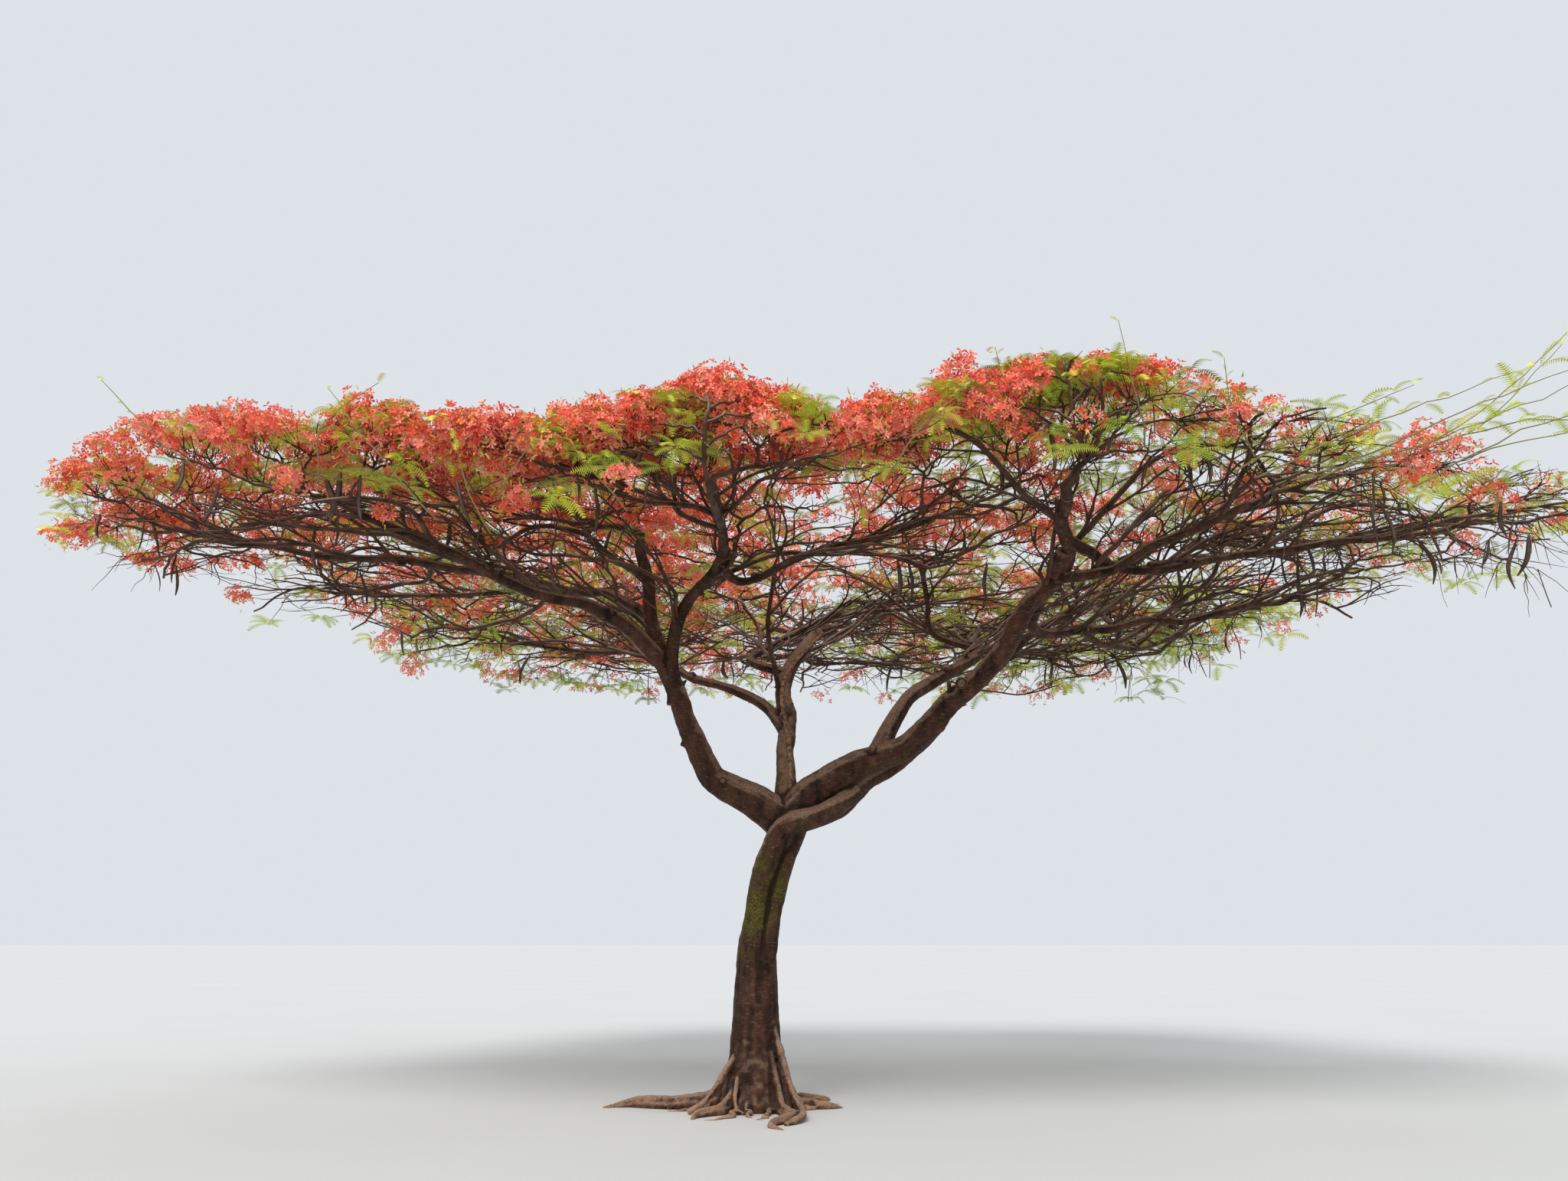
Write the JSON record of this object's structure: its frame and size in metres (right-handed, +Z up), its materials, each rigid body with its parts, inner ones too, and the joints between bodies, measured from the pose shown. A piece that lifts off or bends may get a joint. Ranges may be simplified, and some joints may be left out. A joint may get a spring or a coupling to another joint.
{
  "type": "flame tree",
  "caption": "Umbrella-shaped flame tree in flower: leaning trunk with flared foot and surface roots, forking boughs and a wide flat crown of red-orange blossom, young leaves and bare twigs",
  "frame": {"origin": "The middle of the flat cut under the trunk, at ground level.", "axes": "+Z is up. +X is the crown's long way, to the right as seen from the road. -Y faces the road, from which the picture was taken."},
  "size_m": [16.7428, 10.0971, 7.159],
  "materials": {
    "bark": "rough, damp, with moss",
    "blossom": "soft petals",
    "leaf": "young feathery leaves",
    "pod": "dry, dull"
  },
  "bodies": {
    "root": {"trunk": "bark", "left_bough": "bark", "right_bough": "bark", "middle_bough": "bark", "back_bough": "bark", "left_reach": "bark", "left_far": "bark", "left_second": "bark", "left_crossing": "bark", "left_back": "bark", "middle_low_left": "bark", "middle_crook": "bark", "right_inner": "bark", "right_inner_crook": "bark", "right_pale": "bark", "right_long": "bark", "right_low": "bark", "right_low_back": "bark", "bough_inner_3": "bark", "bough_middle_7": "bark", "bough_inner_2": "bark", "bough_outer_10": "bark", "bough_middle_9": "bark", "bough_outer_4": "bark", "bough_outer_6": "bark", "bough_outer_7": "bark", "bough_outer_5": "bark", "bough_outer_3": "bark", "bough_outer_2": "bark", "crown_inner_1": "blossom", "crown_inner_2": "blossom", "crown_inner_3": "blossom", "crown_inner_4": "blossom", "crown_middle_1": "blossom", "crown_middle_2": "blossom", "crown_middle_3": "blossom", "crown_middle_4": "leaf", "crown_middle_5": "blossom", "crown_middle_6": "blossom", "crown_middle_7": "blossom", "crown_middle_8": "blossom", "crown_middle_9": "blossom", "crown_outer_1": "blossom", "crown_outer_2": "blossom", "crown_outer_3": "blossom", "crown_outer_4": "blossom", "crown_outer_5": "blossom", "crown_outer_6": "blossom", "crown_outer_7": "blossom", "crown_outer_8": "blossom", "crown_outer_9": "blossom", "crown_outer_10": "blossom", "crown_outer_11": "blossom", "crown_outer_12": "blossom", "crown_outer_13": "leaf", "crown_outer_14": "blossom", "crown_outer_15": "leaf"}
  },
  "joints": []
}
